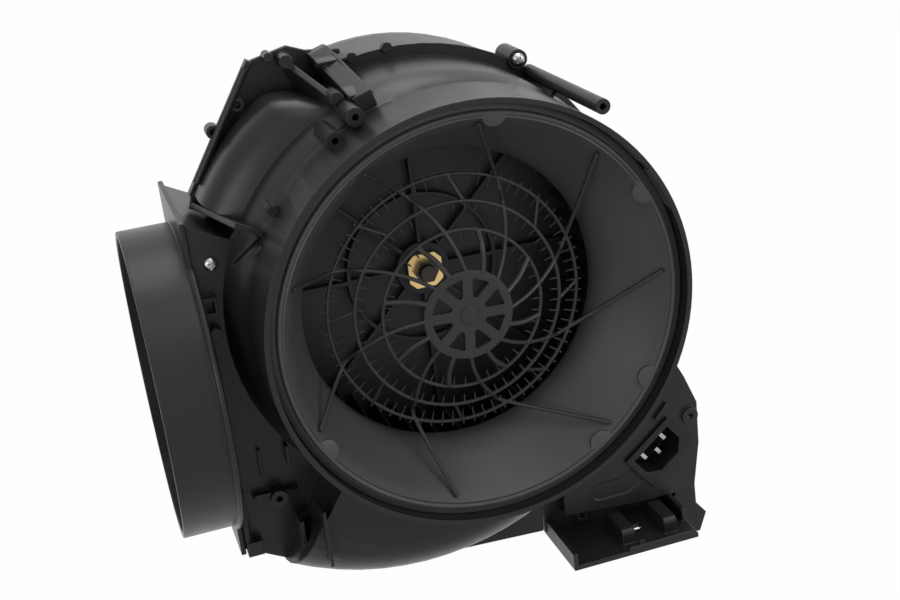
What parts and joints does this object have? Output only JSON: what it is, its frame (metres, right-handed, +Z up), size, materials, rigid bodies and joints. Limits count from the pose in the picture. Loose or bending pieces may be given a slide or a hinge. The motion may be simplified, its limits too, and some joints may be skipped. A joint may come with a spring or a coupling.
{
  "type": "range hood motor",
  "caption": "Double-inlet centrifugal range hood blower: scroll housing, bell-mouth inlet with spiral finger guard, motor inside, round outlet collar with damper flaps, and a power inlet.",
  "frame": {"origin": "centre of the front inlet ring, on its front face", "axes": "+X to the right seen from the inlet, +Y from the front inlet to the back, +Z up; the outlet collar points along -X"},
  "size_m": [0.2678, 0.186, 0.2968],
  "materials": {
    "black_plastic": "satin",
    "dark_plastic": "satin",
    "zinc_steel": "zinc plated",
    "plain_steel": "plain",
    "cast_aluminium": "as cast",
    "brass": "plain",
    "copper_wire": "enamelled copper",
    "rubber": "matt"
  },
  "bodies": {
    "housing": {"front_housing": "black_plastic", "rear_housing": "black_plastic", "bell_mouth": "black_plastic", "inlet_guard": "black_plastic", "pocket_frame": "black_plastic", "connector_plate": "black_plastic", "cable_tray": "black_plastic", "power_inlet": "dark_plastic", "power_pins": "zinc_steel", "outlet_collar": "black_plastic", "damper_pin": "plain_steel", "housing_screws": "zinc_steel", "collar_screw": "zinc_steel", "stator_stack": "plain_steel", "stator_windings": "copper_wire", "front_bearing": "zinc_steel", "rear_bearing": "zinc_steel", "motor_front_shield": "cast_aluminium", "motor_rear_shield": "cast_aluminium", "motor_carrier": "dark_plastic", "motor_grommets": "rubber", "motor_screws": "zinc_steel"},
    "fan": {"impeller": "dark_plastic", "hub_bush": "plain_steel", "shaft_clip": "brass", "shaft_nut": "plain_steel", "motor_shaft": "plain_steel", "rotor_stack": "plain_steel"},
    "flap_front": {"damper_flap_front": "dark_plastic"},
    "flap_rear": {"damper_flap_rear": "dark_plastic"}
  },
  "joints": [
    {"name": "fan_spin", "type": "hinge", "parent": "housing", "child": "fan", "pos_m": [-0.0058, 0.091, 0.0011], "axis": [0, 1, 0], "continuous": true},
    {"name": "flap_front_swing", "type": "hinge", "parent": "housing", "child": "flap_front", "pos_m": [-0.1328, 0.091, -0.0319], "axis": [0, 0, -1], "range_deg": [0, 75]},
    {"name": "flap_rear_swing", "type": "hinge", "parent": "housing", "child": "flap_rear", "pos_m": [-0.1328, 0.091, -0.0319], "axis": [0, 0, 1], "range_deg": [0, 75]}
  ]
}
